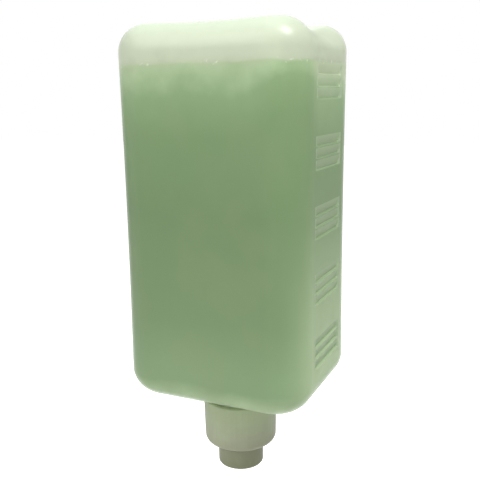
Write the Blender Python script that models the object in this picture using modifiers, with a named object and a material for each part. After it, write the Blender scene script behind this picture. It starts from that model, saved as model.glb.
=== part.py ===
"""A hand soap refill pack: a square blow-moulded bottle of liquid soap, neck down, as it hangs
in a wall dispenser, with a piston pump pressed on its neck and a dust cap over the nozzle.

Metres, +Z up. The origin is on the pump's axis, in the flat end face of the pump's collar.
"""

import math

import bmesh
import bpy
from mathutils import Vector

# Driving sizes of the bottle
BODY_WIDTH = 0.0904
BODY_DEPTH = 0.0783
BODY_HEIGHT = 0.1700
CORNER_RADIUS = 0.0180
BASE_RADIUS = 0.0128
SHOULDER_RADIUS = 0.0125
PANEL_SINK = 0.0007
BOTTLE_WALL = 0.0008
SOAP_LEVEL_BELOW_BASE = 0.0172

# The base, which is up here: four feet, parted by a valley across the width and a shallow saddle
VALLEY_DEPTH = 0.0034
VALLEY_HALF_WIDTH = 0.0240
VALLEY_FADE = 0.0110
SADDLE_DEPTH = 0.0008
SADDLE_HALF_WIDTH = 0.0290

# The grip ribs in both side panels
RIB_GROUPS = 5
RIBS_IN_GROUP = 3
RIB_PITCH = 0.0050
RIB_GROUP_PITCH = 0.0297
FIRST_RIB_BELOW_BASE = 0.0186
RIB_HALF_LENGTH = 0.0174
RIB_DEPTH = 0.0011
RIB_LAND = 0.0005
RIB_CORNER = 0.0018
RIB_DRAFT = 0.0006

# The neck
NECK_RADIUS = 0.0150
NECK_WALL = 0.0016
NECK_SHOWN = 0.0076
NECK_FLARE = 0.0025
BEAD_HEIGHT = 0.0024
BEAD_ABOVE_MOUTH = 0.0100

# The pump's collar and end plate
COLLAR_RIM_RADIUS = 0.0182
COLLAR_END_RADIUS = 0.0178
COLLAR_HEIGHT = 0.0232
COLLAR_BORE = 0.0164
COLLAR_ROUNDING = 0.0031
COLLAR_RIM_ROUNDING = 0.0005
END_PLATE = 0.0026
CAP_SEAT_DEPTH = 0.0005
RIDGE_HEIGHT = 0.0014
GASKET_THICKNESS = 0.0015
GASKET_WIDTH = 0.0027

# The dust cap
CAP_RADIUS = 0.0113
CAP_LENGTH = 0.0125
CAP_WALL = 0.0011
CAP_ROUNDING = 0.0012
CAP_FILLET = 0.0005
SPIGOT_LENGTH = 0.0045
SPIGOT_WALL = 0.0011

# The piston and its chamber
PISTON_STROKE = 0.0075
CHAMBER_RADIUS = 0.0075
CHAMBER_WALL = 0.0013
CHAMBER_PLATE = 0.0014
STEM_RADIUS = 0.0046
STEM_BORE = 0.0024
NOZZLE_RADIUS = 0.0034
NOZZLE_LENGTH = 0.0019
NOZZLE_CLEARANCE = 0.0017
FLANGE_THICKNESS = 0.0014
FLANGE_CLEARANCE = 0.0005
RETAINING_LIP = 0.0006
LIP_THICKNESS = 0.0009
SEAL_HEIGHT = 0.0020
SEAL_SPACING = 0.0026
UPPER_LIP_RISE = 0.0015
PORT_RADIUS = 0.0010
PORT_TURN = math.radians(7)

# The inlet valve in the chamber's top plate
VALVE_RADIUS = 0.0058
VALVE_THICKNESS = 0.0008
VALVE_STEM = 0.0012
VALVE_BULB = 0.0019
VALVE_BULB_HEIGHT = 0.0018
INLET_COUNT = 6
INLET_RADIUS = 0.0011
INLET_CIRCLE = 0.0038

# Clearance between neighbouring pieces
GAP = 0.0003

# Fineness of the facets
TURN_STEPS = 40
SMALL_TURN_STEPS = 28
CORNER_STEPS = 7
EDGE_STEPS = 5
WALL_ROWS = 7
VALLEY_ROWS = 10
SADDLE_ROWS = 8
FILLET_STEPS = 4
HOLE_SIDES = 12
TINY = 0.000001
MERGE = 0.00001
SMOOTH_ANGLE = math.radians(32)
CUTTER_REACH = 0.0010

# Heights that follow from the sizes above
RIM_HEIGHT = COLLAR_HEIGHT
BODY_BOTTOM = RIM_HEIGHT + NECK_SHOWN
BODY_TOP = BODY_BOTTOM + BODY_HEIGHT
BODY_MIDDLE = BODY_BOTTOM + BODY_HEIGHT / 2
SOAP_LEVEL = BODY_TOP - SOAP_LEVEL_BELOW_BASE
GASKET_BOTTOM = END_PLATE + GAP
GASKET_TOP = GASKET_BOTTOM + GASKET_THICKNESS
MOUTH = GASKET_TOP + GAP
BEAD_BOTTOM = MOUTH + BEAD_ABOVE_MOUTH
BEAD_TOP = BEAD_BOTTOM + BEAD_HEIGHT
NECK_BORE = NECK_RADIUS - NECK_WALL
BEAD_RADIUS = COLLAR_BORE - GAP

CAP_END = -CAP_LENGTH
SPIGOT_RADIUS = CAP_RADIUS - CAP_WALL - GAP
SPIGOT_BORE = SPIGOT_RADIUS - SPIGOT_WALL
NOZZLE_END = CAP_END + CAP_WALL + NOZZLE_CLEARANCE
FLANGE_BOTTOM = NOZZLE_END + NOZZLE_LENGTH
FLANGE_TOP = FLANGE_BOTTOM + FLANGE_THICKNESS
FLANGE_RADIUS = SPIGOT_BORE - FLANGE_CLEARANCE
LEDGE = FLANGE_TOP + PISTON_STROKE + GAP
LIP_TOP = LEDGE + 2 * RETAINING_LIP
SEAL_BOTTOM = LIP_TOP + RETAINING_LIP + GAP
SEAL_TOP = SEAL_BOTTOM + SEAL_HEIGHT
UPPER_LIP_BOTTOM = SEAL_TOP + SEAL_SPACING
STEM_TOP = UPPER_LIP_BOTTOM + LIP_THICKNESS
UPPER_LIP_TOP = STEM_TOP + UPPER_LIP_RISE
SEAL_RADIUS = CHAMBER_RADIUS - GAP
VALVE_BOTTOM = UPPER_LIP_TOP + PISTON_STROKE + GAP
VALVE_TOP = VALVE_BOTTOM + VALVE_THICKNESS
CHAMBER_TOP = VALVE_TOP + GAP
PLATE_TOP = CHAMBER_TOP + CHAMBER_PLATE
BULB_BOTTOM = PLATE_TOP + GAP
BULB_TOP = BULB_BOTTOM + VALVE_BULB_HEIGHT
CHAMBER_OUTER = CHAMBER_RADIUS + CHAMBER_WALL
ROOT_OUTER = SPIGOT_BORE + CHAMBER_WALL
ROOT_TOP = LEDGE + CHAMBER_WALL
CAP_TOP = CAP_SEAT_DEPTH - GAP
CAP_SEAT_RADIUS = CAP_RADIUS + GAP


def clear_scene():
    for item in list(bpy.data.objects):
        bpy.data.objects.remove(item, do_unlink=True)


def make_collection(name):
    group = bpy.data.collections.new(name)
    bpy.context.scene.collection.children.link(group)
    return group


def make_material(name, colour, roughness, alpha=1.0):
    material = bpy.data.materials.new(name)
    material.use_nodes = True
    shader = material.node_tree.nodes["Principled BSDF"]
    shader.inputs["Base Color"].default_value = (*colour, 1.0)
    shader.inputs["Roughness"].default_value = roughness
    shader.inputs["Metallic"].default_value = 0.0
    shader.inputs["Alpha"].default_value = alpha
    return material


def make_object(name, mesh, group):
    item = bpy.data.objects.new(name, mesh)
    group.objects.link(item)
    return item


def make_cutter(name, mesh, group):
    item = make_object(name, mesh, group)
    item.hide_render = True
    item.display_type = "WIRE"
    return item


def mesh_from(bm, name):
    """A mesh from bm, whose faces point outwards, with its sharp edges kept."""
    bm.normal_update()
    bmesh.ops.recalc_face_normals(bm, faces=bm.faces)
    mesh = bpy.data.meshes.new(name)
    bm.to_mesh(mesh)
    bm.free()
    mesh.shade_smooth()
    mesh.set_sharp_from_angle(angle=SMOOTH_ANGLE)
    return mesh


def arc(centre, radii, start, end, steps):
    """Points (radius, height) on an elliptic arc, its angles in degrees, both ends included."""
    points = []
    for i in range(steps + 1):
        angle = math.radians(start + (end - start) * i / steps)
        x = centre[0] + radii[0] * math.cos(angle)
        z = centre[1] + radii[1] * math.sin(angle)
        points.append((x, z))
    return points


def turned_mesh(name, profile, closed):
    """The profile's line, down its outer side first, for a Screw modifier to turn."""
    bm = bmesh.new()
    verts = [bm.verts.new((x, 0.0, z)) for x, z in profile]
    for first, second in zip(verts, verts[1:]):
        bm.edges.new((first, second))
    if closed:
        bm.edges.new((verts[-1], verts[0]))
    mesh = bpy.data.meshes.new(name)
    bm.to_mesh(mesh)
    bm.free()
    return mesh


def turn(item, steps):
    """Turns item's profile a full circle about the Z axis."""
    screw = item.modifiers.new("turn", "SCREW")
    screw.axis = "Z"
    screw.angle = math.tau
    screw.steps = steps
    screw.render_steps = steps
    screw.use_merge_vertices = True
    screw.merge_threshold = MERGE
    screw.use_smooth_shade = True
    return item


def turned_part(name, profile, closed, steps, group):
    return turn(make_object(name, turned_mesh(name, profile, closed), group), steps)


def turned_cutter(name, profile, group):
    return turn(make_cutter(name, turned_mesh(name, profile, False), group), TURN_STEPS)


def drill(name, radius, depth, group):
    """A round cutter along Z."""
    bm = bmesh.new()
    bmesh.ops.create_cone(
        bm,
        cap_ends=True,
        segments=HOLE_SIDES,
        radius1=radius,
        radius2=radius,
        depth=depth,
    )
    return make_cutter(name, mesh_from(bm, name), group)


def cut_with(item, cutter, operation="DIFFERENCE"):
    """A Boolean of item with one object, or with all the objects of a collection."""
    boolean = item.modifiers.new(cutter.name, "BOOLEAN")
    boolean.operation = operation
    boolean.solver = "EXACT"
    if isinstance(cutter, bpy.types.Collection):
        boolean.operand_type = "COLLECTION"
        boolean.collection = cutter
    else:
        boolean.object = cutter
    return boolean


def level_edges(bm, height):
    return [edge for edge in bm.edges if all(abs(v.co.z - height) < TINY for v in edge.verts)]


def faces_above(bm, height):
    return [face for face in bm.faces if all(v.co.z > height - TINY for v in face.verts)]


def round_edges(bm, edges, radius, steps):
    bmesh.ops.bevel(
        bm,
        geom=edges,
        offset=radius,
        offset_type="OFFSET",
        segments=steps,
        profile=0.5,
        affect="EDGES",
        clamp_overlap=False,
    )


def slice_faces(bm, faces, point, normal):
    """Adds an edge loop where a plane crosses the given faces."""
    verts = {v for face in faces for v in face.verts}
    edges = {e for face in faces for e in face.edges}
    bmesh.ops.bisect_plane(
        bm,
        geom=[*verts, *edges, *faces],
        dist=TINY,
        plane_co=point,
        plane_no=normal,
    )


def bump(share):
    """1 at the middle and 0 from 1 on, in a cosine's arch."""
    if abs(share) >= 1.0:
        return 0.0
    return math.cos(share * math.pi / 2)


def plan_normal(x, y):
    """The outward direction of the rounded square outline at x, y."""
    over_x = max(abs(x) - (BODY_WIDTH / 2 - CORNER_RADIUS), 0.0)
    over_y = max(abs(y) - (BODY_DEPTH / 2 - CORNER_RADIUS), 0.0)
    return Vector((math.copysign(over_x, x), math.copysign(over_y, y), 0.0)).normalized()


def panel_sink(z):
    """How far the walls are sucked in at height z."""
    share = (z - BODY_MIDDLE) / (BODY_HEIGHT / 2)
    return PANEL_SINK * max(1.0 - share * share, 0.0)


def valley_shift(point):
    """The valley across the base: down on top, and inwards round the side edges, where it fades."""
    across = bump(point.y / VALLEY_HALF_WIDTH)
    fade = min(max(1.0 - (BODY_TOP - point.z) / VALLEY_FADE, 0.0), 1.0)
    fade = fade * fade * (3.0 - 2.0 * fade)
    beyond = max(abs(point.x) - (BODY_WIDTH / 2 - BASE_RADIUS), 0.0)
    above = max(point.z - (BODY_TOP - BASE_RADIUS), TINY)
    outward = Vector((math.copysign(beyond, point.x), 0.0, above)).normalized()
    return outward * (-VALLEY_DEPTH * across * math.sqrt(fade))


def saddle_shift(point):
    """The shallow dip of the front and back edges between the feet."""
    share = min(max((point.z - (BODY_TOP - BASE_RADIUS)) / BASE_RADIUS, 0.0), 1.0)
    return Vector((0.0, 0.0, -SADDLE_DEPTH * bump(point.x / SADDLE_HALF_WIDTH) * share))


def body_mesh(name, inset):
    """The bottle's body, with every face moved in by inset."""
    bm = bmesh.new()
    bmesh.ops.create_cube(bm, size=1.0)
    size = Vector((BODY_WIDTH, BODY_DEPTH, BODY_HEIGHT)) - Vector((2 * inset, 2 * inset, 2 * inset))
    bmesh.ops.scale(bm, vec=size, verts=bm.verts)
    bmesh.ops.translate(bm, vec=(0.0, 0.0, BODY_MIDDLE), verts=bm.verts)
    upright = [e for e in bm.edges if abs(e.verts[0].co.z - e.verts[1].co.z) > inset + TINY]
    round_edges(bm, upright, CORNER_RADIUS - inset, CORNER_STEPS)
    top = BODY_TOP - inset
    bottom = BODY_BOTTOM + inset
    round_edges(bm, level_edges(bm, top), BASE_RADIUS - inset, EDGE_STEPS)
    round_edges(bm, level_edges(bm, bottom), SHOULDER_RADIUS - inset, EDGE_STEPS)

    wall_top = BODY_TOP - BASE_RADIUS
    wall_bottom = BODY_BOTTOM + SHOULDER_RADIUS
    for row in range(1, WALL_ROWS):
        height = wall_bottom + (wall_top - wall_bottom) * row / WALL_ROWS
        slice_faces(bm, list(bm.faces), (0.0, 0.0, height), (0.0, 0.0, 1.0))

    for row in range(VALLEY_ROWS + 1):
        across = VALLEY_HALF_WIDTH * (2 * row / VALLEY_ROWS - 1)
        slice_faces(bm, faces_above(bm, wall_top), (0.0, across, 0.0), (0.0, 1.0, 0.0))
    for row in range(SADDLE_ROWS + 1):
        along = SADDLE_HALF_WIDTH * (2 * row / SADDLE_ROWS - 1)
        slice_faces(bm, faces_above(bm, wall_top), (along, 0.0, 0.0), (1.0, 0.0, 0.0))

    for vert in bm.verts:
        plain = vert.co.copy()
        vert.co -= plan_normal(plain.x, plain.y) * panel_sink(plain.z)
        if plain.z > wall_top - TINY:
            vert.co += valley_shift(plain + Vector((0.0, 0.0, inset)))
            vert.co += saddle_shift(plain + Vector((0.0, 0.0, inset)))
    return mesh_from(bm, name)


def neck_outside():
    """The neck's outer side with its snap bead, closed on the axis at both ends."""
    inside = BODY_BOTTOM + BOTTLE_WALL / 2
    flare_centre = (NECK_RADIUS + NECK_FLARE, BODY_BOTTOM - NECK_FLARE)
    profile = [(0.0, inside), (NECK_RADIUS + NECK_FLARE, inside)]
    profile += arc(flare_centre, (NECK_FLARE, NECK_FLARE), 90, 180, FILLET_STEPS)
    profile += [
        (NECK_RADIUS, BEAD_TOP),
        (BEAD_RADIUS, BEAD_TOP - BEAD_HEIGHT / 4),
        (BEAD_RADIUS, BEAD_TOP - BEAD_HEIGHT / 2),
        (NECK_RADIUS, BEAD_BOTTOM),
        (NECK_RADIUS, MOUTH),
        (0.0, MOUTH),
    ]
    return profile


def neck_inside(inset, end):
    """The neck's bore, or the soap in it: its wall moved in by inset from the bore's."""
    radius = NECK_BORE - inset
    flare = NECK_FLARE + BOTTLE_WALL + inset
    shoulder = BODY_BOTTOM + BOTTLE_WALL + inset
    profile = [(0.0, shoulder + BOTTLE_WALL), (radius + flare, shoulder + BOTTLE_WALL)]
    profile += arc((radius + flare, shoulder - flare), (flare, flare), 90, 180, FILLET_STEPS)
    profile += [(radius, end), (0.0, end)]
    return profile


def rib_heights():
    """The top edge of every rib, from the base down."""
    for group in range(RIB_GROUPS):
        for rib in range(RIBS_IN_GROUP):
            yield BODY_TOP - FIRST_RIB_BELOW_BASE - group * RIB_GROUP_PITCH - rib * RIB_PITCH


def rib_cutter(name, side, top, group):
    """One rib's recess: flush with the panel at its top, with a ledge at its foot."""
    height = RIB_PITCH - RIB_LAND
    bm = bmesh.new()
    bmesh.ops.create_cube(bm, size=1.0)
    bmesh.ops.scale(bm, vec=(RIB_DEPTH + CUTTER_REACH, 2 * RIB_HALF_LENGTH, height), verts=bm.verts)
    foot = [
        e for e in bm.edges
        if abs(e.verts[0].co.x - e.verts[1].co.x) > TINY and e.verts[0].co.z < 0.0
    ]
    round_edges(bm, foot, RIB_CORNER, FILLET_STEPS - 1)
    start = CUTTER_REACH / 8
    for vert in bm.verts:
        down = (height / 2 - vert.co.z) / height
        if vert.co.x < 0.0:
            vert.co.x = start - (RIB_DEPTH + start) * down
            vert.co.y -= math.copysign(RIB_DRAFT * down, vert.co.y)
        else:
            vert.co.x = CUTTER_REACH
        vert.co.x *= side
    item = make_cutter(name, mesh_from(bm, name), group)
    middle = top - height / 2
    item.location = (side * (BODY_WIDTH / 2 - panel_sink(middle)), 0.0, middle)
    return item


def rib_pad(name, side, top, group, grown):
    """The step of the bottle's inner wall behind one group of ribs, grown all round."""
    height = RIBS_IN_GROUP * RIB_PITCH - RIB_LAND
    bm = bmesh.new()
    bmesh.ops.create_cube(bm, size=1.0)
    depth = RIB_DEPTH + grown
    thickness = depth + CUTTER_REACH
    length = 2 * (RIB_HALF_LENGTH + grown)
    bmesh.ops.scale(bm, vec=(thickness, length, height + 2 * grown), verts=bm.verts)
    rim = [e for e in bm.edges if all(v.co.x < 0.0 for v in e.verts)]
    round_edges(bm, rim, RIB_DEPTH / 2, 2)
    for vert in bm.verts:
        vert.co.x = (vert.co.x + thickness / 2 - depth) * side
    item = make_cutter(name, mesh_from(bm, name), group)
    middle = top - height / 2
    item.location = (side * (BODY_WIDTH / 2 - panel_sink(middle)), 0.0, middle)
    return item


def make_rib_cutters(parent):
    group = bpy.data.collections.new("rib_cutters")
    parent.children.link(group)
    for side, word in ((1, "right"), (-1, "left")):
        for number, top in enumerate(rib_heights(), 1):
            rib_cutter(f"rib_{word}_{number:02d}", side, top, group)
    return group


def make_rib_pads(name, parent, grown):
    group = bpy.data.collections.new(name)
    parent.children.link(group)
    tops = [top for number, top in enumerate(rib_heights()) if number % RIBS_IN_GROUP == 0]
    for side, word in ((1, "right"), (-1, "left")):
        for number, top in enumerate(tops, 1):
            rib_pad(f"{name}_{word}_{number}", side, top, group, grown)
    return group


def pump_envelope(grown):
    """The outline of the pump inside the neck, grown by a clearance, closed on the axis."""
    return [
        (0.0, BULB_TOP + grown),
        (VALVE_BULB + grown, BULB_TOP + grown),
        (VALVE_BULB + grown, PLATE_TOP + grown),
        (CHAMBER_OUTER + grown, PLATE_TOP + grown),
        (CHAMBER_OUTER + grown, ROOT_TOP + CHAMBER_WALL + grown),
        (ROOT_OUTER + grown, ROOT_TOP + grown),
        (ROOT_OUTER + grown, END_PLATE - grown),
        (0.0, END_PLATE - grown),
    ]


def build_bottle(parts, cutters):
    """The blow-moulded shell: body, neck and ribs, with one even wall."""
    bottle = make_object("bottle", body_mesh("bottle", 0.0), parts)
    cut_with(bottle, turned_cutter("neck_form", neck_outside(), cutters), "UNION")
    cavity = make_cutter("bottle_cavity", body_mesh("bottle_cavity", BOTTLE_WALL), cutters)
    cut_with(cavity, make_rib_pads("rib_pads", cutters, BOTTLE_WALL))
    bore_line = neck_inside(0.0, MOUTH - CUTTER_REACH)
    cut_with(cavity, turned_cutter("neck_bore", bore_line, cutters), "UNION")
    cut_with(bottle, cavity)
    cut_with(bottle, make_rib_cutters(cutters))
    return bottle


def build_soap(parts, cutters):
    """The soap: it fills the body and the neck round the pump, up to a level surface."""
    inset = BOTTLE_WALL + GAP
    soap = make_object("soap", body_mesh("soap", inset), parts)
    cut_with(soap, make_rib_pads("soap_pads", cutters, inset))
    cut_with(soap, turned_cutter("soap_neck", neck_inside(GAP, MOUTH), cutters), "UNION")
    cut_with(soap, turned_cutter("pump_space", pump_envelope(GAP), cutters))

    bm = bmesh.new()
    bmesh.ops.create_cube(bm, size=1.0)
    bmesh.ops.scale(bm, vec=(2 * BODY_WIDTH, 2 * BODY_DEPTH, BODY_HEIGHT), verts=bm.verts)
    air = make_cutter("head_space", mesh_from(bm, "head_space"), cutters)
    air.location = (0.0, 0.0, SOAP_LEVEL + BODY_HEIGHT / 2)
    cut_with(soap, air)
    return soap


def build_pump_housing(parts, cutters):
    """The collar on the neck, its end plate and spigot, and the chamber tube inside the neck."""
    ridge_bottom = BEAD_TOP + GAP
    ridge_radius = NECK_RADIUS + GAP
    ridge_step = COLLAR_BORE - ridge_radius
    rounding_centre = (COLLAR_END_RADIUS - COLLAR_ROUNDING, COLLAR_ROUNDING)
    rounding = (COLLAR_ROUNDING, COLLAR_ROUNDING)
    profile = [
        (COLLAR_RIM_RADIUS - COLLAR_RIM_ROUNDING, RIM_HEIGHT),
        (COLLAR_RIM_RADIUS, RIM_HEIGHT - COLLAR_RIM_ROUNDING),
    ]
    profile += arc(rounding_centre, rounding, 0, -90, FILLET_STEPS + 2)
    profile += [
        (CAP_SEAT_RADIUS, 0.0),
        (CAP_SEAT_RADIUS, CAP_SEAT_DEPTH),
        (SPIGOT_RADIUS, CAP_SEAT_DEPTH),
        (SPIGOT_RADIUS, -SPIGOT_LENGTH),
        (SPIGOT_BORE, -SPIGOT_LENGTH),
        (SPIGOT_BORE, LEDGE),
        (CHAMBER_RADIUS - RETAINING_LIP, LEDGE),
        (CHAMBER_RADIUS - RETAINING_LIP, LIP_TOP),
        (CHAMBER_RADIUS, LIP_TOP + RETAINING_LIP),
        (CHAMBER_RADIUS, CHAMBER_TOP),
        (VALVE_STEM + GAP, CHAMBER_TOP),
        (VALVE_STEM + GAP, PLATE_TOP),
        (CHAMBER_OUTER, PLATE_TOP),
        (CHAMBER_OUTER, ROOT_TOP + CHAMBER_WALL),
        (ROOT_OUTER, ROOT_TOP),
        (ROOT_OUTER, END_PLATE),
        (COLLAR_BORE - RIDGE_HEIGHT, END_PLATE),
        (COLLAR_BORE, END_PLATE + RIDGE_HEIGHT),
        (COLLAR_BORE, ridge_bottom),
        (ridge_radius, ridge_bottom),
        (ridge_radius, ridge_bottom + RIDGE_HEIGHT / 2),
        (COLLAR_BORE, ridge_bottom + RIDGE_HEIGHT / 2 + ridge_step),
        (COLLAR_BORE, RIM_HEIGHT),
    ]
    housing = turned_part("pump_housing", profile, True, TURN_STEPS, parts)
    inlets = bpy.data.collections.new("inlet_cutters")
    cutters.children.link(inlets)
    for number in range(INLET_COUNT):
        angle = math.tau * number / INLET_COUNT
        name = f"inlet_{number + 1}"
        hole = drill(name, INLET_RADIUS, CHAMBER_PLATE + CUTTER_REACH, inlets)
        hole.location = (
            INLET_CIRCLE * math.cos(angle),
            INLET_CIRCLE * math.sin(angle),
            (CHAMBER_TOP + PLATE_TOP) / 2,
        )
    cut_with(housing, inlets)
    return housing


def build_gasket(parts):
    """The flat ring that seals the bottle's mouth against the end plate."""
    outer = NECK_RADIUS
    inner = outer - GASKET_WIDTH
    profile = [
        (outer, GASKET_TOP),
        (outer, GASKET_BOTTOM),
        (inner, GASKET_BOTTOM),
        (inner, GASKET_TOP),
    ]
    return turned_part("neck_gasket", profile, True, TURN_STEPS, parts)


def build_inlet_valve(parts):
    """A soft mushroom: its disc lies under the inlet holes, and its bulb holds it in the plate."""
    bulb_middle = BULB_BOTTOM + VALVE_STEM / 2
    profile = [(0.0, BULB_TOP)]
    profile += arc((0.0, bulb_middle), (VALVE_BULB, BULB_TOP - bulb_middle), 60, 0, FILLET_STEPS - 1)
    profile += [
        (VALVE_BULB, BULB_BOTTOM),
        (VALVE_STEM, BULB_BOTTOM),
        (VALVE_STEM, VALVE_TOP),
        (VALVE_RADIUS, VALVE_TOP),
        (VALVE_RADIUS, VALVE_TOP - VALVE_THICKNESS / 3),
        (VALVE_RADIUS * 2 / 3, VALVE_BOTTOM),
        (0.0, VALVE_BOTTOM),
    ]
    return turned_part("inlet_valve", profile, False, SMALL_TURN_STEPS, parts)


def build_piston(parts, cutters):
    """The hollow piston: two seals, a port between them, the dispenser's flange and the nozzle."""
    edge = LIP_THICKNESS / 2
    profile = [
        (0.0, STEM_TOP),
        (STEM_RADIUS, STEM_TOP),
        (SEAL_RADIUS - edge, UPPER_LIP_TOP),
        (SEAL_RADIUS, UPPER_LIP_TOP - edge),
        (STEM_RADIUS, UPPER_LIP_BOTTOM),
        (STEM_RADIUS, SEAL_TOP),
        (SEAL_RADIUS - edge, SEAL_TOP),
        (SEAL_RADIUS, SEAL_TOP - edge),
        (SEAL_RADIUS - edge, (SEAL_TOP + SEAL_BOTTOM) / 2),
        (SEAL_RADIUS, SEAL_BOTTOM + edge),
        (SEAL_RADIUS - edge, SEAL_BOTTOM),
        (STEM_RADIUS, SEAL_BOTTOM),
        (STEM_RADIUS, FLANGE_TOP),
        (FLANGE_RADIUS, FLANGE_TOP),
        (FLANGE_RADIUS, FLANGE_BOTTOM),
        (NOZZLE_RADIUS, FLANGE_BOTTOM),
        (NOZZLE_RADIUS, NOZZLE_END + edge),
        (NOZZLE_RADIUS - edge, NOZZLE_END),
        (STEM_BORE, NOZZLE_END),
        (STEM_BORE, UPPER_LIP_BOTTOM),
        (0.0, UPPER_LIP_BOTTOM),
    ]
    piston = turned_part("piston", profile, False, SMALL_TURN_STEPS, parts)
    port = drill("piston_port", PORT_RADIUS, 2 * CHAMBER_RADIUS, cutters)
    port.location = (0.0, 0.0, (SEAL_TOP + UPPER_LIP_BOTTOM) / 2)
    port.rotation_euler = (0.0, math.pi / 2, PORT_TURN)
    cut_with(piston, port)
    return piston


def build_dust_cap(parts):
    """The cap pushed on the spigot over the nozzle, its rim in a shallow seat in the end face."""
    inner = CAP_RADIUS - CAP_WALL
    floor = CAP_END + CAP_WALL
    rounding_centre = (CAP_RADIUS - CAP_ROUNDING, CAP_END + CAP_ROUNDING)
    profile = [(inner, CAP_TOP), (CAP_RADIUS, CAP_TOP)]
    profile += arc(rounding_centre, (CAP_ROUNDING, CAP_ROUNDING), 0, -90, FILLET_STEPS)
    profile += [
        (0.0, CAP_END),
        (0.0, floor),
        (inner - CAP_FILLET, floor),
        (inner, floor + CAP_FILLET),
        (inner, CAP_TOP),
    ]
    return turned_part("dust_cap", profile, False, TURN_STEPS, parts)


def main():
    clear_scene()
    parts = make_collection("hand_soap_refill_pack")
    cutters = make_collection("cutters")
    natural = make_material("natural_polyethylene", (0.84, 0.87, 0.80), 0.35, 0.45)
    green = make_material("green_soap", (0.28, 0.46, 0.22), 0.15)
    pump_plastic = make_material("pump_polypropylene", (0.42, 0.43, 0.36), 0.35)
    cap_plastic = make_material("cap_polypropylene", (0.27, 0.28, 0.21), 0.35)
    white = make_material("white_polyethylene", (0.80, 0.80, 0.78), 0.40)
    grey = make_material("grey_foam", (0.55, 0.55, 0.55), 0.80)
    silicone = make_material("clear_silicone", (0.75, 0.76, 0.74), 0.50)

    pieces = (
        (build_bottle(parts, cutters), natural),
        (build_soap(parts, cutters), green),
        (build_pump_housing(parts, cutters), pump_plastic),
        (build_gasket(parts), grey),
        (build_inlet_valve(parts), silicone),
        (build_piston(parts, cutters), white),
        (build_dust_cap(parts), cap_plastic),
    )
    for item, material in pieces:
        item.data.materials.append(material)


main()
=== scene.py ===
"""The looks of a hand soap refill pack: a milky bottle of green soap, neck down, with its pump.

Metres, +Z up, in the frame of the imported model. The origin is in the end face of the pump's collar.
"""

import math

import bpy
from mathutils import Matrix, Vector, noise


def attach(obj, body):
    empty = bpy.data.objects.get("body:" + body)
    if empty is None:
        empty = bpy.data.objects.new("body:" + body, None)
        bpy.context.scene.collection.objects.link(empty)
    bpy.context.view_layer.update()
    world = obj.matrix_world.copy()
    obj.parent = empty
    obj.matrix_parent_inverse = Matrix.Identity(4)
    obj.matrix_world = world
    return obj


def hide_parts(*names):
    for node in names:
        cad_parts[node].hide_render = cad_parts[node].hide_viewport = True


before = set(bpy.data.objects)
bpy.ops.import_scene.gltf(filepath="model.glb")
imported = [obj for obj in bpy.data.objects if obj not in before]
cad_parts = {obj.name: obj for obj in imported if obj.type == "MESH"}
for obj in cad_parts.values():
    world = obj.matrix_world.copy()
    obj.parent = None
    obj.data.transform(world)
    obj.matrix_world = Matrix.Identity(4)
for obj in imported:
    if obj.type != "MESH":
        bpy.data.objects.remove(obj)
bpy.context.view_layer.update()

# The bottle, as the solids have it
BODY_WIDTH = 0.0904
BODY_DEPTH = 0.0783
BODY_HEIGHT = 0.1700
BODY_BOTTOM = 0.0308
BODY_TOP = BODY_BOTTOM + BODY_HEIGHT
BODY_MIDDLE = BODY_BOTTOM + BODY_HEIGHT / 2
CORNER_RADIUS = 0.0180
BASE_RADIUS = 0.0128
SHOULDER_RADIUS = 0.0125
PANEL_SINK = 0.0007
BOTTLE_WALL = 0.0008
SOAP_LEVEL = BODY_TOP - 0.0172
COLLAR_RIM = 0.0232
GAP = 0.0003

VALLEY_DEPTH = 0.0034
VALLEY_HALF_WIDTH = 0.0240
VALLEY_FADE = 0.0110
SADDLE_DEPTH = 0.0008
SADDLE_HALF_WIDTH = 0.0290

RIB_GROUPS = 5
RIBS_IN_GROUP = 3
RIB_PITCH = 0.0050
RIB_GROUP_PITCH = 0.0297
FIRST_RIB_BELOW_BASE = 0.0186
RIB_HALF_LENGTH = 0.0174
RIB_DEPTH = 0.0011
RIB_LAND = 0.0005
RIB_CORNER = 0.0018
RIB_DRAFT = 0.0006
RIB_HEIGHT = RIB_PITCH - RIB_LAND
RIB_LEDGE = 0.0005
RIB_END = 0.0017
RIB_EDGE = 0.0002
RIB_NEAR_EDGE = 0.0010
# How much more painted light and shade, and wall, the rib ends take than the rest of a ledge
FAR_END_SHARE = 1.6
NEAR_END_SHARE = 1.2
PAD_FADE = 0.0016

NECK_RADIUS = 0.0150
NECK_BORE = 0.0134
NECK_FLARE = 0.0025
NECK_MOUTH = 0.0047
BEAD_RADIUS = 0.0161
BEAD_BOTTOM = NECK_MOUTH + 0.0100
BEAD_TOP = BEAD_BOTTOM + 0.0024
BEAD_BEVEL = 0.0006

# The pump inside the neck, which the soap goes round
CHAMBER_OUTER = 0.0088
ROOT_OUTER = 0.0101
ROOT_CONE = 0.0014
PLATE_TOP = 0.0208
BULB_RADIUS = 0.0019
BULB_TOP = 0.0229

# Fineness of the lofted surfaces
CORNER_STEPS = 14
EDGE_STEPS = 12
FLAT_STEPS = 10
CENTRE_STEPS = 14
SHOULDER_STEPS = 8
FLARE_STEPS = 6
WALL_STEP = 0.0050
HEIGHT_DIGITS = 6
SMOOTH_ANGLE = math.radians(38)

# Columns of points over half a rib, from its middle and from its end
MIDDLE_COLUMNS = (0.0, 0.0035, 0.0070, 0.0105, 0.0130)
END_COLUMNS = (-0.0026, -0.0020, -0.0014, -0.0009, -0.0005, -0.0001, 0.0004, 0.0016, 0.0036)

# Rows of points, as shares of a rib's slope, of its ledge and of the fade round a group's pad
SLOPE_ROWS = (0.0, 0.3, 0.6, 0.85, 1.0)
LEDGE_ROWS = (0.8, 0.6, 0.4, 0.2, 0.0)
PAD_ROWS = (0.0, 0.5, 1.0, 1.5, 2.0)

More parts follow.
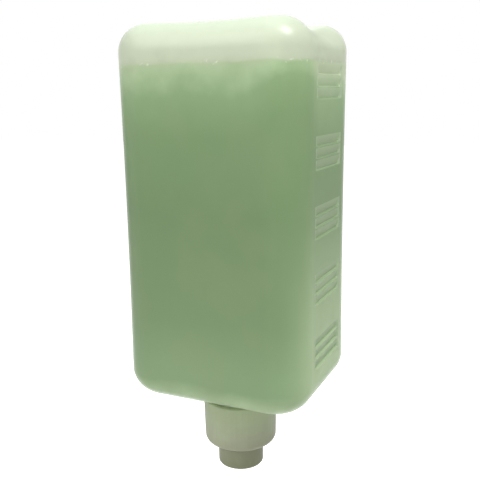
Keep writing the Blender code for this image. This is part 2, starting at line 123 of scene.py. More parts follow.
# The soap's surface: each ring's share of the way to the wall, and how far it creeps up
SURFACE_RINGS = ((0.2, 0.0), (0.5, 0.0), (0.8, 0.0), (0.95, 0.0001), (0.985, 0.0004), (1.0, 0.0009))
WAVE_SCALE = 160.0
WAVELET_SCALE = 420.0
WAVELET_SHARE = 0.5
WAVE_STRENGTH = 0.9

# How much one surface of the wall hides: wet with soap, what a ledge adds, and clouded by film
WET_WALL = 0.68
LEDGE_WALL = 0.04
FILM_WALL = 0.60
FILM_UNEVENNESS = 0.10

# Colours are sRGB, 0 to 255. A run of tones gives the place of each from 0 to 1, its ends first.
# The soap's tones by height: paler under its surface, partly a lighter layer and partly painted light
SOAP_TONES = (
    # Painted light: palest in the neck, and paler down towards the shoulder
    (0.0, (240, 255, 222)),
    (1.0, (192, 210, 166)),
    (0.05, (160, 190, 134)),
    (0.13, (140, 170, 116)),
    (0.30, (124, 155, 104)),
    (0.60, (118, 150, 100)),
    (0.81, (130, 162, 110)),
    (0.91, (150, 180, 127)),
    (0.97, (180, 205, 155)),
)
# Painted light on the lower right and the underside of the shoulder
SOAP_PAINTED_LIGHT = (184, 206, 164)
SOAP_CLOUD = (146, 160, 118)
# The wall over the soap runs the same way, with the same painted light
WET_TONES = (
    (0.0, (250, 255, 236)),
    (1.0, (186, 200, 166)),
    (0.05, (183, 206, 163)),
    (0.12, (136, 163, 121)),
    (0.30, (123, 149, 107)),
    (0.60, (117, 143, 101)),
    (0.81, (123, 151, 107)),
    (0.91, (139, 167, 122)),
    (0.97, (170, 193, 152)),
)
# The same painted light on the wall over the soap
WET_PAINTED_LIGHT = (182, 203, 160)
FILM_TONES = (
    (0.0, (197, 206, 180)),
    (1.0, (204, 217, 195)),
    (0.35, (199, 208, 184)),
    (0.70, (200, 209, 187)),
)
# Painted shade on the right side of the film
FILM_SIDE_SHADE = (166, 173, 152)
FILM_STREAK = (176, 186, 160)
FROTH = (238, 242, 226)
SLOPE_LIGHT = (206, 222, 186)
SLOPE_SHADE = (92, 122, 84)
# Painted light and shade over the ribs' ledges
LEDGE_LIGHT_AND_SHADE = (146, 160, 140)

# Where the soap's tones change, as ranges of X, Y or Z, and what each range turns into
SIDE_X = (0.030, 0.040)
PATCH_SHIFT = 0.006
WISP_Z = (SOAP_LEVEL - 0.030, SOAP_LEVEL - 0.006)
WISP_SHIFTS = (0.006, 0.016)
UPPER_Z = (BODY_MIDDLE, BODY_MIDDLE + 0.040)
# Painted shade at the front right, in the upper half
FRONT_X = (0.022, 0.041)
FRONT_SHIFTS = (0.0, -0.010)
NEAR_LEVEL_Z = (SOAP_LEVEL - 0.010, SOAP_LEVEL - 0.001)
NEAR_LEVEL_SHARES = (1.0, 0.55)
# Painted light on the right side, in the upper half
SIDE_Y = (-0.0265, -0.012)
SIDE_SHIFT = 0.013
# Painted light low on the right side
LOWER_Y = (-0.0385, -0.020)
LOWER_Z = (BODY_MIDDLE + 0.030, BODY_BOTTOM + SHOULDER_RADIUS - 0.004)
LOWER_SHARES = (0.02, 0.68)
# Painted light under the shoulder, more towards the right
UNDER_X = (-0.010, 0.030)
UNDER_Z = (BODY_BOTTOM + SHOULDER_RADIUS, BODY_BOTTOM + 0.002)
UNDER_SHARES = (0.0, 0.5)

# The same for the bottle's wall: the film above the soap and its painted shade on the right, the
# froth along its line, and the ribs' painted light and shade
FILM_SHIFT = 0.004
FILM_SIDE_Y = (-0.039, -0.035)
FILM_SIDE_SHARE = 0.28
STREAK_RISE = (0.1, 0.8)
STREAK_SHARES = (1.0, 0.0)
LINE_MIDDLE = SOAP_LEVEL - 0.0005
LINE_RIPPLE = 0.0030
LINE_FADE = (-0.0008, 0.0008)
FROTH_REACH = (0.0003, 0.0016)
FROTH_SHARES = (0.62, 0.0)
LIT_SLOPE_Z = (0.060, 0.150)
LIT_SLOPE_SHARES = (0.0, 0.30)
SHADED_SLOPE_Z = (0.050, 0.085)
SHADED_SLOPE_SHARES = (0.30, 0.0)
LEDGE_Z = (0.120, 0.180)
LEDGE_SHARES = (0.22, 0.34)

# The same for the moulded plastics of the pump
PLASTIC_SHIFT = 0.0016
LEFT_X = (-0.018, -0.006)
LEFT_SHARES = (0.30, 0.0)

# The surroundings. Each lamp has its name, place, target, size and power.
FLOOR_LEVEL = -0.16
FLOOR_HALF = 4.0
FLOOR_LIFT = 0.65
FLOOR_COLOUR = (0.8, 0.8, 0.8, 1.0)
WORLD_LIGHT = 0.58
WHITE = (1.0, 1.0, 1.0, 1.0)
LAMPS = (
    ("key", (-0.30, -0.85, 0.75), (0, 0, 0.11), (0.7, 0.7), 5.9),
    ("top", (0.15, -0.20, 1.05), (0, 0, 0.10), (0.5, 0.5), 1.1),
    ("corner", (0.469, -0.149, 0.853), (0.037, -0.033, 0.19), (0.17, 0.34), 7.8),
    ("left", (-0.80, -0.35, 0.12), (-0.04, 0, 0.11), (0.6, 0.6), 0.8),
    ("behind", (-0.50, 0.90, 0.40), (0, 0.04, 0.10), (0.6, 0.6), 1.5),
)

# The camera: the photograph's, in millimetres from the middle of the bottle's body
CAMERA_PLACE = (136.4, -291.5, 54.3)
CAMERA_YAW = math.radians(24.905)
CAMERA_PITCH = math.radians(11.955)
CAMERA_ROLL = math.radians(-0.818)
CAMERA_LENS = 51.59
CAMERA_SENSOR = 36.0
CAMERA_NEAR = 0.01
MILLIMETRES = 1000


def smooth(share):
    """From 0 to 1 with a soft start and end."""
    share = min(max(share, 0.0), 1.0)
    return share * share * (3.0 - 2.0 * share)


def bump(share):
    """1 in the middle, down to 0 at a distance of 1."""
    return math.cos(share * math.pi / 2) if abs(share) < 1.0 else 0.0


def panel_sink(z):
    """How far the walls are sucked in at height z."""
    share = (z - BODY_MIDDLE) / (BODY_HEIGHT / 2)
    return PANEL_SINK * max(1.0 - share * share, 0.0)


def rib_tops():
    """The heights of the ribs' upper edges, from the base down."""
    for group in range(RIB_GROUPS):
        for rib in range(RIBS_IN_GROUP):
            yield BODY_TOP - FIRST_RIB_BELOW_BASE - group * RIB_GROUP_PITCH - rib * RIB_PITCH


def rib_depth(y, z):
    """How deep a side panel is cut at y and z: each rib slopes in downwards to a rounded ledge."""
    for top in rib_tops():
        down = top - z
        if 0.0 < down < RIB_HEIGHT:
            length = RIB_HALF_LENGTH - RIB_DRAFT * down / RIB_HEIGHT
            into_corner = down - (RIB_HEIGHT - RIB_CORNER)
            if into_corner > 0.0:
                length -= RIB_CORNER - math.sqrt(max(RIB_CORNER**2 - into_corner**2, 0.0))
            end = smooth((length - abs(y)) / RIB_END)
            slope = down / (RIB_HEIGHT - RIB_LEDGE)
            ledge = 1.0 - smooth((down - RIB_HEIGHT + RIB_LEDGE) / RIB_LEDGE)
            return RIB_DEPTH * min(slope, ledge) * end
    return 0.0


def on_ledge(y, z):
    """1 on a rib's ledge, more at its ends and most at the far one, and 0 elsewhere; it sets the
    painted light and shade and the extra wall there.
    """
    for top in rib_tops():
        down = top - z
        if -RIB_EDGE / 2 < down < RIB_HEIGHT + RIB_EDGE / 2 and abs(y) < RIB_HALF_LENGTH:
            if y > RIB_HALF_LENGTH - RIB_END:
                return FAR_END_SHARE
            if y < RIB_NEAR_EDGE - RIB_HALF_LENGTH:
                return NEAR_END_SHARE
            return 1.0 if down > RIB_HEIGHT - RIB_LEDGE - RIB_EDGE / 2 else 0.0
    return 0.0


def on_slope(y, z):
    """1 on a rib's slope, which the light from above fills, and 0 elsewhere."""
    for top in rib_tops():
        down = top - z
        if -RIB_EDGE / 2 < down < RIB_HEIGHT - RIB_LEDGE + RIB_EDGE / 2 and abs(y) < RIB_HALF_LENGTH:
            return 1.0
    return 0.0


def pad_depth(y, z):
    """How far the inner wall swells in behind a group of ribs."""
    height = (RIBS_IN_GROUP - 1) * RIB_PITCH + RIB_HEIGHT
    for number, top in enumerate(rib_tops()):
        if number % RIBS_IN_GROUP:
            continue
        upright = smooth((min(top - z, z - (top - height)) + 2 * PAD_FADE) / (2 * PAD_FADE))
        if upright > 0.0:
            along = smooth((RIB_HALF_LENGTH + PAD_FADE - abs(y)) / (2 * PAD_FADE))
            return RIB_DEPTH * upright * along
    return 0.0


def stations():
    """Places round the outline: the core point, the outward normal and whether ribs cross it."""
    core_x = BODY_WIDTH / 2 - CORNER_RADIUS
    core_y = BODY_DEPTH / 2 - CORNER_RADIUS
    columns = {*MIDDLE_COLUMNS, *(RIB_HALF_LENGTH + offset for offset in END_COLUMNS)}
    side = sorted({-y for y in columns} | columns)
    front = [core_x * (2 * i / FLAT_STEPS - 1) for i in range(1, FLAT_STEPS)]
    places = []
    for quarter, (sx, sy) in enumerate(((1, 1), (-1, 1), (-1, -1), (1, -1))):
        if quarter == 0:
            places += [(Vector((core_x, y, 0)), Vector((1, 0, 0)), True) for y in side]
        if quarter == 2:
            places += [(Vector((-core_x, -y, 0)), Vector((-1, 0, 0)), True) for y in side]
        for step in range(CORNER_STEPS + 1):
            angle = math.pi / 2 * (quarter + step / CORNER_STEPS)
            normal = Vector((math.cos(angle), math.sin(angle), 0))
            places.append((Vector((sx * core_x, sy * core_y, 0)), normal, False))
        if quarter == 0:
            places += [(Vector((-x, core_y, 0)), Vector((0, 1, 0)), False) for x in front]
        if quarter == 2:
            places += [(Vector((x, -core_y, 0)), Vector((0, -1, 0)), False) for x in front]
    return places


PLACES = stations()


def base_shift(point):
    """The valley and the saddle of the base, which is up."""
    across = bump(point.y / VALLEY_HALF_WIDTH)
    fade = smooth(1.0 - (BODY_TOP - point.z) / VALLEY_FADE)
    beyond = max(abs(point.x) - (BODY_WIDTH / 2 - BASE_RADIUS), 0.0)
    above = max(point.z - (BODY_TOP - BASE_RADIUS), 1e-6)
    outward = Vector((math.copysign(beyond, point.x), 0.0, above)).normalized()
    shift = outward * (-VALLEY_DEPTH * across * math.sqrt(fade))
    share = min(max((point.z - (BODY_TOP - BASE_RADIUS)) / BASE_RADIUS, 0.0), 1.0)
    shift.z -= SADDLE_DEPTH * bump(point.x / SADDLE_HALF_WIDTH) * share
    return shift


def body_ring(radius, z, depth=None):
    """The outline at height z, radius outside its core, less depth(y, z) on the ribbed sides."""
    ring = []
    for core, normal, ribbed in PLACES:
        reach = radius - panel_sink(z)
        if ribbed and depth:
            reach -= depth(core.y, z)
        ring.append(core + normal * reach + Vector((0, 0, z)))
    return ring


def round_ring(radius, z):
    """A circle whose points match the outline's."""
    ring = []
    for core, normal, _ in PLACES:
        spoke = (core + normal * CORNER_RADIUS).normalized()
        ring.append(spoke * radius + Vector((0, 0, z)))
    return ring


def mixed_ring(first, second, share):
    """A ring part of the way from one ring to another."""
    return [a.lerp(b, share) for a, b in zip(first, second)]


def base_rings(inset):
    """From the middle of the base out to the top of the walls."""
    top = BODY_TOP - inset
    inner = CORNER_RADIUS - BASE_RADIUS
    centre = [Vector((0, 0, top))] * len(PLACES)
    core = body_ring(0.0, top)
    rings = [mixed_ring(centre, core, i / CENTRE_STEPS) for i in range(1, CENTRE_STEPS)]
    rings += [body_ring(inner * i / 2, top) for i in range(2)]
    for step in range(EDGE_STEPS):
        angle = math.pi / 2 * (1 - step / EDGE_STEPS)
        radius = inner + (BASE_RADIUS - inset) * math.cos(angle)
        height = BODY_TOP - BASE_RADIUS + (BASE_RADIUS - inset) * math.sin(angle)
        rings.append(body_ring(radius, height))
    lift = Vector((0, 0, inset))
    return [[p + base_shift(p + lift) for p in ring] for ring in rings]


def wall_heights(fine):
    """Heights down the walls: evenly spaced, and close together over the ribs."""
    top = BODY_TOP - BASE_RADIUS
    bottom = BODY_BOTTOM + SHOULDER_RADIUS
    rows = int((top - bottom) / WALL_STEP)
    heights = {round(top - (top - bottom) * i / rows, HEIGHT_DIGITS) for i in range(rows + 1)}
    if fine:
        for rib_top in rib_tops():
            foot = rib_top - RIB_HEIGHT
            rib_rows = [rib_top + RIB_EDGE, foot + RIB_LEDGE + RIB_EDGE, foot - RIB_EDGE]
            rib_rows += [rib_top - share * (RIB_HEIGHT - RIB_LEDGE) for share in SLOPE_ROWS]
            rib_rows += [foot + share * RIB_LEDGE for share in LEDGE_ROWS]
            heights -= {h for h in heights if rib_top - RIB_PITCH < h < rib_top + RIB_LAND}
            heights |= {round(h, HEIGHT_DIGITS) for h in rib_rows}
    else:
        group_height = RIBS_IN_GROUP * RIB_PITCH - RIB_LAND
        for rib_top in list(rib_tops())[::RIBS_IN_GROUP]:
            pad_rows = [rib_top + share * PAD_FADE for share in PAD_ROWS]
            pad_rows += [rib_top - group_height - share * PAD_FADE for share in PAD_ROWS]
            heights |= {round(h, HEIGHT_DIGITS) for h in pad_rows}
    return sorted((h for h in heights if bottom <= h <= top), reverse=True)


def shoulder_rings(inset, radius):
    """From the foot of the walls in to the neck, whose radius is given."""
    inner = CORNER_RADIUS - SHOULDER_RADIUS
    rings = []
    for step in range(1, EDGE_STEPS + 1):
        angle = math.pi / 2 * step / EDGE_STEPS
        reach = inner + (SHOULDER_RADIUS - inset) * math.cos(angle)
        height = BODY_BOTTOM + SHOULDER_RADIUS - (SHOULDER_RADIUS - inset) * math.sin(angle)
        rings.append(body_ring(reach, height))
    floor = BODY_BOTTOM + inset
    flare = NECK_FLARE + inset
    core = body_ring(0.0, floor)
    mouth = round_ring(radius + flare, floor)
    rings.append(body_ring(inner / 2, floor))
    rings += [mixed_ring(core, mouth, i / SHOULDER_STEPS) for i in range(SHOULDER_STEPS)]
    for step in range(FLARE_STEPS + 1):
        angle = math.pi / 2 * step / FLARE_STEPS
        reach = radius + flare * (1 - math.sin(angle))
        rings.append(round_ring(reach, floor - flare * (1 - math.cos(angle))))
    return rings


def loft(name, first_pole, rings, last_pole):
    """A closed surface through the rings, from one pole to the other."""
    count = len(PLACES)
    points = [first_pole, *(p for ring in rings for p in ring), last_pole]
    faces = [(0, 1 + i, 1 + (i + 1) % count) for i in range(count)]
    for row in range(len(rings) - 1):
        start = 1 + row * count
        for i in range(count):
            j = (i + 1) % count
            faces.append((start + i, start + count + i, start + count + j, start + j))
    last = len(points) - 1
    start = last - count
    faces += [(last, start + (i + 1) % count, start + i) for i in range(count)]
    mesh = bpy.data.meshes.new(name)
    mesh.from_pydata([tuple(p) for p in points], [], faces)
    mesh.validate()
    mesh.shade_smooth()
    mesh.set_sharp_from_angle(angle=SMOOTH_ANGLE)
    piece = bpy.data.objects.new(name, mesh)
    bpy.context.scene.collection.objects.link(piece)
    return piece


def make_bottle():
    """The moulded shell, outside and inside, with the ribs' ledges and slopes marked on it."""
    rings = base_rings(0.0)
    rings += [body_ring(CORNER_RADIUS, h, rib_depth) for h in wall_heights(True)]
    rings += shoulder_rings(0.0, NECK_RADIUS)
    for radius, height in (
        (NECK_RADIUS, BEAD_TOP),
        (BEAD_RADIUS, BEAD_TOP - BEAD_BEVEL),
        (BEAD_RADIUS, BEAD_TOP - 2 * BEAD_BEVEL),
        (NECK_RADIUS, BEAD_BOTTOM),
        (NECK_RADIUS, NECK_MOUTH),
        (NECK_BORE, NECK_MOUTH),
    ):
        rings.append(round_ring(radius, height))
    inside = base_rings(BOTTLE_WALL)
    inside += [body_ring(CORNER_RADIUS - BOTTLE_WALL, h, pad_depth) for h in wall_heights(False)]
    inside += shoulder_rings(BOTTLE_WALL, NECK_BORE)
    rings += reversed(inside)
    first = Vector((0, 0, BODY_TOP))
    last = Vector((0, 0, BODY_TOP - BOTTLE_WALL))
    first += base_shift(first)
    last += base_shift(last + Vector((0, 0, BOTTLE_WALL)))
    skin = loft("bottle_skin", first, rings, last)
    panel = BODY_WIDTH / 2 - PANEL_SINK - RIB_DEPTH - GAP
    for name, mark in (("ledge", on_ledge), ("slope", on_slope)):
        values = skin.data.attributes.new(name, "FLOAT", "POINT").data
        for vert, value in zip(skin.data.vertices, values):
            if abs(vert.co.x) > panel:
                value.value = mark(vert.co.y, vert.co.z)
    return skin


def make_soap():
    """The soap: level on top, with a wet edge that creeps a little up the wall."""
    inset = BOTTLE_WALL + GAP
    edge = body_ring(CORNER_RADIUS - inset, SOAP_LEVEL, pad_depth)
    centre = [Vector((0, 0, SOAP_LEVEL))] * len(PLACES)
    rings = []
    for share, lift in SURFACE_RINGS:
        ring = mixed_ring(centre, edge, share)
        for point in ring:
            wave = noise.noise(point * WAVE_SCALE)
            wave += WAVELET_SHARE * noise.noise(point * WAVELET_SCALE)
            point.z += lift * (1.0 + WAVE_STRENGTH * wave)
        rings.append(ring)
    rings += [
        body_ring(CORNER_RADIUS - inset, h, pad_depth)
        for h in wall_heights(False) if h < SOAP_LEVEL - GAP
    ]
    rings += shoulder_rings(inset, NECK_BORE - GAP)
    for radius, height in (
        (NECK_BORE - GAP, NECK_MOUTH),
        (ROOT_OUTER + GAP, NECK_MOUTH),
        (CHAMBER_OUTER + GAP, NECK_MOUTH + ROOT_CONE),
        (CHAMBER_OUTER + GAP, PLATE_TOP + GAP),
        (BULB_RADIUS + GAP, PLATE_TOP + GAP),
        (BULB_RADIUS + GAP, BULB_TOP + GAP),
    ):
        rings.append(round_ring(radius, height))
    return loft("soap_fill", Vector((0, 0, SOAP_LEVEL)), rings, Vector((0, 0, BULB_TOP + GAP)))


class Nodes:
    """A short way to write a material's nodes."""

    def __init__(self, name):
        self.material = bpy.data.materials.new(name)
        self.material.use_nodes = True
        self.tree = self.material.node_tree
        self.shader = self.tree.nodes["Principled BSDF"]

    def add(self, kind, **values):
        """A new node with some of its properties set."""
        node = self.tree.nodes.new(kind)
        for key, value in values.items():
            setattr(node, key, value)
        return node

    def link(self, source, target):
        self.tree.links.new(source, target)

    def feed(self, name, value):
        """Links a value to a socket of the shader."""
        self.link(value, self.shader.inputs[name])

    def place(self):
        """The object's own coordinates, in metres."""
        return self.add("ShaderNodeTexCoord").outputs["Object"]

    def axes(self):
        """The object's own X, Y and Z."""
        split = self.add("ShaderNodeSeparateXYZ")
        self.link(self.place(), split.inputs[0])
        return split.outputs

    def mark(self, name):
        """A value that the mesh carries at each point."""
        return self.add("ShaderNodeAttribute", attribute_name=name).outputs["Fac"]

    def ranged(self, value, low, high, to_low=0.0, to_high=1.0, way="SMOOTHSTEP"):
        """A value between low and high, turned into one between to_low and to_high."""
        node = self.add("ShaderNodeMapRange", interpolation_type=way)
        node.inputs["From Min"].default_value = low
        node.inputs["From Max"].default_value = high
        node.inputs["To Min"].default_value = to_low
        node.inputs["To Max"].default_value = to_high
        self.link(value, node.inputs["Value"])
        return node.outputs["Result"]

    def mottle(self, scale, detail):
        """Soft noise, from 0 to 1."""
        texture = self.add("ShaderNodeTexNoise")
        texture.inputs["Scale"].default_value = scale
        texture.inputs["Detail"].default_value = detail
        self.link(self.place(), texture.inputs["Vector"])
        return texture.outputs["Fac"]

    def uneven(self, middle, spread, scale, detail):
        """A number that wanders softly about a middle, over the given spread."""
        return self.maths("MULTIPLY_ADD", self.mottle(scale, detail), spread, middle - spread / 2)

    def spots(self, start, full, scale, detail, strength=1.0):
        """Soft spots: 0 where the noise is under start, and the strength where it is over full."""
        return self.ranged(self.mottle(scale, detail), start, full, 0.0, strength)

    def maths(self, operation, *values):
        """A Math node over numbers and links."""
        node = self.add("ShaderNodeMath", operation=operation)
        for socket, value in zip(node.inputs, values):
            if isinstance(value, float):
                socket.default_value = value
            else:
                self.link(value, socket)
        return node.outputs[0]

    def ramp(self, value, tones):
        """A run of tones along a value from 0 to 1."""
        node = self.add("ShaderNodeValToRGB")
        points = node.color_ramp.elements
        for number, (position, colour) in enumerate(tones):
            point = points[number] if number < 2 else points.new(position)
            point.position = position
            point.color = srgb(colour)
        self.link(value, node.inputs["Fac"])
        return node.outputs["Color"]

    def tinted(self, share, colour, tint):
        """A linked colour, with a share of a written one over it."""
        return self.mixed(share, colour, srgb(tint))

    def mixed(self, share, first, second):
        """Two colours mixed. A Mix node takes its share at 0 and its colours at 6 and 7."""
        node = self.add("ShaderNodeMix", data_type="RGBA")
        sockets = (node.inputs[0], node.inputs[6], node.inputs[7])
        for socket, value in zip(sockets, (share, first, second)):
            if isinstance(value, (float, tuple)):
                socket.default_value = value
            else:
                self.link(value, socket)
        return node.outputs[2]

    def bumped(self, value, strength, distance):
        """Makes the surface look uneven by a value."""
        node = self.add("ShaderNodeBump")
        node.inputs["Strength"].default_value = strength
        node.inputs["Distance"].default_value = distance
        self.link(value, node.inputs["Height"])
        self.feed("Normal", node.outputs["Normal"])

    def set(self, **values):
        """Sets sockets of the shader to numbers."""
        for key, value in values.items():
            self.shader.inputs[key.replace("_", " ")].default_value = value


def linear(channel):
    """One sRGB channel, 0 to 255, as a linear number from 0 to 1."""
    share = channel / 255
    return share / 12.92 if share <= 0.04045 else ((share + 0.055) / 1.055) ** 2.4


def srgb(colour):
    """An sRGB colour as the four linear numbers that a node takes."""
    return (*(linear(channel) for channel in colour), 1.0)


def side_share(nodes, start, end):
    """0 on the front and 1 on the right side, rising round the corner between two places in Y."""
    x, y, _ = nodes.axes()
    return nodes.maths("MULTIPLY", nodes.ranged(y, start, end), nodes.ranged(x, *SIDE_X))


def soap_tone(nodes, tones, pale):
    """The soap's colour: by height, from the collar to the surface, in soft patches, with painted
    light.

    The paler soap under the surface reaches less deep at the front right than at the side, as painted
    shade at the front right and painted light on the side, and the lower right and the shoulder's
    underside are pale with painted light.
    """
    x, _, height = nodes.axes()
    patches = nodes.uneven(middle=0.0, spread=PATCH_SHIFT, scale=24.0, detail=2.0)
    wisps = nodes.uneven(middle=0.0, spread=1.0, scale=75.0, detail=3.0)
    reach = nodes.ranged(height, *WISP_Z, *WISP_SHIFTS)
    wander = nodes.maths("ADD", nodes.maths("MULTIPLY_ADD", wisps, reach, patches), height)
    # Painted shade at the front right and painted light on the right side, both in the upper half
    near_level = nodes.ranged(height, *NEAR_LEVEL_Z, *NEAR_LEVEL_SHARES)
    front = nodes.maths("MULTIPLY", nodes.ranged(x, *FRONT_X, *FRONT_SHIFTS), near_level)
    shift = nodes.maths("MULTIPLY_ADD", side_share(nodes, *SIDE_Y), SIDE_SHIFT, front)
    upper = nodes.maths("MULTIPLY", shift, nodes.ranged(height, *UPPER_Z))
    wander = nodes.maths("ADD", wander, upper)
    share = nodes.ranged(wander, COLLAR_RIM, SOAP_LEVEL, way="LINEAR")
    # Painted light low on the right side and under the shoulder
    lower = nodes.ranged(wander, *LOWER_Z, *LOWER_SHARES)
    lower = nodes.maths("MULTIPLY", side_share(nodes, *LOWER_Y), lower)
    under = nodes.ranged(height, *UNDER_Z, *UNDER_SHARES)
    under = nodes.maths("MULTIPLY", under, nodes.ranged(x, *UNDER_X))
    painted_light_share = nodes.maths("MAXIMUM", lower, under)
    tone = nodes.tinted(painted_light_share, nodes.ramp(share, tones), pale)
    clouds = nodes.spots(start=0.40, full=0.64, scale=36.0, detail=3.0, strength=0.16)
    return nodes.tinted(clouds, tone, SOAP_CLOUD)


def film_tone(nodes, height):
    """The wall above the soap: clouded by a soapy film, with faint streaks low down and painted shade
    on the right.
    """
    cloud = nodes.uneven(middle=0.0, spread=FILM_SHIFT, scale=38.0, detail=3.0)
    rise = nodes.ranged(nodes.maths("ADD", height, cloud), SOAP_LEVEL, BODY_TOP, way="LINEAR")
    # Painted shade on the right side
    side = nodes.maths("MULTIPLY", side_share(nodes, *FILM_SIDE_Y), FILM_SIDE_SHARE)
    tone = nodes.tinted(side, nodes.ramp(rise, FILM_TONES), FILM_SIDE_SHADE)
    streaks = nodes.spots(start=0.50, full=0.66, scale=70.0, detail=4.0, strength=0.20)
    streaks = nodes.maths("MULTIPLY", streaks, nodes.ranged(rise, *STREAK_RISE, *STREAK_SHARES))
    return nodes.tinted(streaks, tone, FILM_STREAK)


def wet_tone(nodes, height, ledge):
    """The wall over the soap: the ribs' slopes lit high up and shaded low down, their ledges with
    painted light and shade.
    """
    slope = nodes.mark("slope")
    tone = soap_tone(nodes, WET_TONES, WET_PAINTED_LIGHT)
    for marked, places, shares, tint in (
        (slope, LIT_SLOPE_Z, LIT_SLOPE_SHARES, SLOPE_LIGHT),
        (slope, SHADED_SLOPE_Z, SHADED_SLOPE_SHARES, SLOPE_SHADE),
        # painted light and shade over the ledges
        (ledge, LEDGE_Z, LEDGE_SHARES, LEDGE_LIGHT_AND_SHADE),
    ):
        share = nodes.maths("MULTIPLY", marked, nodes.ranged(height, *places, *shares))
        tone = nodes.tinted(share, tone, tint)
    return tone


def froth_share(nodes, over_line):
    """Small bubbles in clusters along the soap's line."""
    bubbles = nodes.spots(start=0.56, full=0.70, scale=430.0, detail=2.0)
    distance = nodes.maths("ABSOLUTE", over_line)
    at_line = nodes.ranged(distance, *FROTH_REACH, *FROTH_SHARES)
    clusters = nodes.spots(start=0.42, full=0.54, scale=55.0, detail=2.0)
    return nodes.maths("MULTIPLY", nodes.maths("MULTIPLY", bubbles, at_line), clusters)


def bottle_material():
    """Milky polyethylene: green where soap wets it, and clouded by a soapy film above that."""
    nodes = Nodes("milky_polyethylene")
    height = nodes.axes()["Z"]
    ledge = nodes.mark("ledge")
    line = nodes.uneven(middle=LINE_MIDDLE, spread=LINE_RIPPLE, scale=150.0, detail=2.0)
    over_line = nodes.maths("SUBTRACT", height, line)
    above = nodes.ranged(over_line, *LINE_FADE)
    tone = nodes.mixed(above, wet_tone(nodes, height, ledge), film_tone(nodes, height))
    nodes.feed("Base Color", nodes.tinted(froth_share(nodes, over_line), tone, FROTH))
    wall = nodes.maths("MULTIPLY_ADD", ledge, LEDGE_WALL, WET_WALL)
    film = nodes.uneven(middle=FILM_WALL - WET_WALL, spread=FILM_UNEVENNESS, scale=90.0, detail=4.0)
    nodes.feed("Alpha", nodes.maths("ADD", nodes.maths("MULTIPLY", above, film), wall))
    nodes.bumped(nodes.mottle(scale=260.0, detail=2.0), strength=0.02, distance=0.0002)
    nodes.feed("Roughness", nodes.uneven(middle=0.33, spread=0.08, scale=120.0, detail=3.0))
    nodes.set(Specular_IOR_Level=0.38)
    return nodes.material


def soap_material():
    """Pearly green soap, paler just under its surface, partly as painted light, and towards the
    shoulder as painted light.
    """
    nodes = Nodes("pearly_green_soap")
    nodes.feed("Base Color", soap_tone(nodes, SOAP_TONES, SOAP_PAINTED_LIGHT))
    nodes.feed("Roughness", nodes.uneven(middle=0.45, spread=0.1, scale=200.0, detail=2.0))
    nodes.set(Specular_IOR_Level=0.3)
    return nodes.material


def plastic_material(name, tones, patch, low, high, roughness, grain):
    """Moulded plastic whose tone runs from low to high, in soft patches, with a fine grain."""
    nodes = Nodes(name)
    x, _, height = nodes.axes()
    wander = nodes.uneven(middle=0.0, spread=PLASTIC_SHIFT, scale=260.0, detail=3.0)
    share = nodes.ranged(nodes.maths("ADD", height, wander), low, high, way="LINEAR")
    left = nodes.ranged(x, *LEFT_X, *LEFT_SHARES)
    patches = nodes.spots(start=0.40, full=0.65, scale=90.0, detail=2.0, strength=0.12)
    tone = nodes.tinted(nodes.maths("ADD", left, patches), nodes.ramp(share, tones), patch)
    nodes.feed("Base Color", tone)
    nodes.bumped(nodes.mottle(scale=1400.0, detail=2.0), strength=grain, distance=0.0001)
    nodes.set(Roughness=roughness, Specular_IOR_Level=0.2)
    return nodes.material


def dress(node, material):
    """Gives a carried-over solid its material."""
    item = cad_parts[node]
    for slot in item.material_slots:
        slot.material = material


def make_pieces():
    """The bottle and the soap in place of their solids, and the materials of the other solids."""
    bottle = make_bottle()
    bottle.data.materials.append(bottle_material())
    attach(bottle, "refill")
    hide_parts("bottle")

    soap = make_soap()
    soap.data.materials.append(soap_material())
    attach(soap, "refill")
    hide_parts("soap")

    dress("pump_housing", plastic_material(
        "collar_polypropylene",
        tones=((0.0, (138, 141, 118)), (1.0, (158, 171, 136)), (0.3, (150, 156, 131))),
        patch=(120, 121, 102),
        low=0.0,
        high=COLLAR_RIM,
        roughness=0.38,
        grain=0.2,
    ))
    dress("dust_cap", plastic_material(
        "cap_polypropylene",
        tones=((0.0, (114, 118, 92)), (1.0, (132, 136, 111))),
        patch=(98, 98, 76),
        low=-0.0125,
        high=0.0,
        roughness=0.38,
        grain=0.2,
    ))
    dress("piston", plastic_material(
        "piston_polyethylene",
        tones=((0.0, (212, 214, 206)), (1.0, (222, 223, 216))),
        patch=(204, 205, 197),
        low=-0.011,
        high=0.011,
        roughness=0.4,
        grain=0.2,
    ))
    dress("neck_gasket", plastic_material(
        "gasket_foam",
        tones=((0.0, (150, 150, 150)), (1.0, (160, 160, 160))),
        patch=(140, 140, 140),
        low=0.002,
        high=0.005,
        roughness=0.8,
        grain=0.6,
    ))
    dress("inlet_valve", plastic_material(
        "valve_silicone",
        tones=((0.0, (205, 208, 202)), (1.0, (214, 216, 210))),
        patch=(198, 201, 195),
        low=0.018,
        high=0.023,
        roughness=0.5,
        grain=0.1,
    ))


def make_floor():
    """A plain pale floor, well below the held pack. It looks white, and keeps a soft shadow."""
    bpy.ops.mesh.primitive_plane_add(size=2 * FLOOR_HALF, location=(0, 0, FLOOR_LEVEL))
    floor = bpy.context.object
    floor.name = "floor"
    nodes = Nodes("floor_white")
    nodes.set(Base_Color=FLOOR_COLOUR, Roughness=0.9)
    glow = nodes.add("ShaderNodeEmission")
    path = nodes.add("ShaderNodeLightPath")
    seen = nodes.maths("MAXIMUM", path.outputs["Is Camera Ray"], path.outputs["Is Transmission Ray"])
    nodes.link(nodes.maths("MULTIPLY", seen, FLOOR_LIFT), glow.inputs["Strength"])
    both = nodes.add("ShaderNodeAddShader")
    nodes.link(nodes.shader.outputs[0], both.inputs[0])
    nodes.link(glow.outputs[0], both.inputs[1])
    nodes.link(both.outputs[0], nodes.tree.nodes["Material Output"].inputs["Surface"])
    floor.data.materials.append(nodes.material)


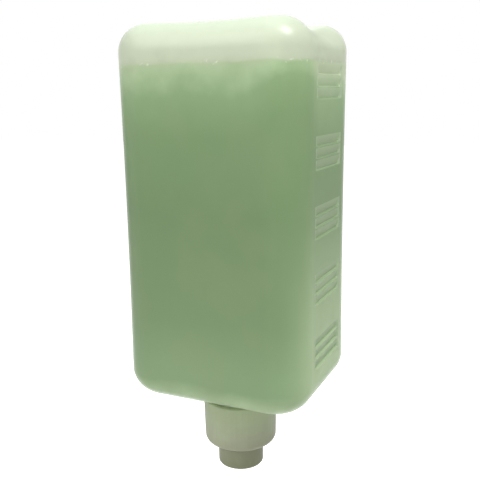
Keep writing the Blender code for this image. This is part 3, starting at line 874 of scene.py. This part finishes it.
def make_world():
    """A white surround to the eye, and a plain grey one for the light."""
    world = bpy.data.worlds.new("surround")
    bpy.context.scene.world = world
    world.use_nodes = True
    tree = world.node_tree
    background = tree.nodes["Background"]
    background.inputs["Color"].default_value = WHITE
    background.inputs["Strength"].default_value = WORLD_LIGHT
    white = tree.nodes.new("ShaderNodeBackground")
    white.inputs["Color"].default_value = WHITE
    white.inputs["Strength"].default_value = 1.0
    path = tree.nodes.new("ShaderNodeLightPath")
    seen = tree.nodes.new("ShaderNodeMath")
    seen.operation = "MAXIMUM"
    tree.links.new(path.outputs["Is Camera Ray"], seen.inputs[0])
    tree.links.new(path.outputs["Is Transmission Ray"], seen.inputs[1])
    mix = tree.nodes.new("ShaderNodeMixShader")
    tree.links.new(seen.outputs[0], mix.inputs["Fac"])
    tree.links.new(background.outputs[0], mix.inputs[1])
    tree.links.new(white.outputs[0], mix.inputs[2])
    tree.links.new(mix.outputs[0], tree.nodes["World Output"].inputs["Surface"])


def make_lamp(name, place, target, size, power):
    """A soft rectangular lamp, turned to its target."""
    lamp = bpy.data.lights.new(name, "AREA")
    lamp.shape = "RECTANGLE"
    lamp.size, lamp.size_y = size
    lamp.energy = power
    item = bpy.data.objects.new(name, lamp)
    bpy.context.scene.collection.objects.link(item)
    item.location = place
    item.rotation_euler = (Vector(target) - Vector(place)).to_track_quat("-Z", "Y").to_euler()


def make_camera():
    """The photograph's camera, from its yaw, pitch and roll."""
    yaw, pitch, roll = CAMERA_YAW, CAMERA_PITCH, CAMERA_ROLL
    ahead = Vector((
        -math.sin(yaw) * math.cos(pitch),
        math.cos(yaw) * math.cos(pitch),
        -math.sin(pitch),
    ))
    level = Vector((math.cos(yaw), math.sin(yaw), 0.0))
    upward = level.cross(ahead)
    right = level * math.cos(roll) + upward * math.sin(roll)
    up = upward * math.cos(roll) - level * math.sin(roll)
    data = bpy.data.cameras.new("camera")
    data.lens = CAMERA_LENS
    data.sensor_width = CAMERA_SENSOR
    data.clip_start = CAMERA_NEAR
    camera = bpy.data.objects.new("camera", data)
    bpy.context.scene.collection.objects.link(camera)
    turn = Matrix((right, up, -ahead)).transposed()
    place = Vector(CAMERA_PLACE) / MILLIMETRES + Vector((0, 0, BODY_MIDDLE))
    camera.matrix_world = Matrix.Translation(place) @ turn.to_4x4()
    bpy.context.scene.camera = camera


make_pieces()
make_floor()
make_world()
for lamp in LAMPS:
    make_lamp(*lamp)
make_camera()
bpy.context.scene.view_settings.view_transform = "Standard"
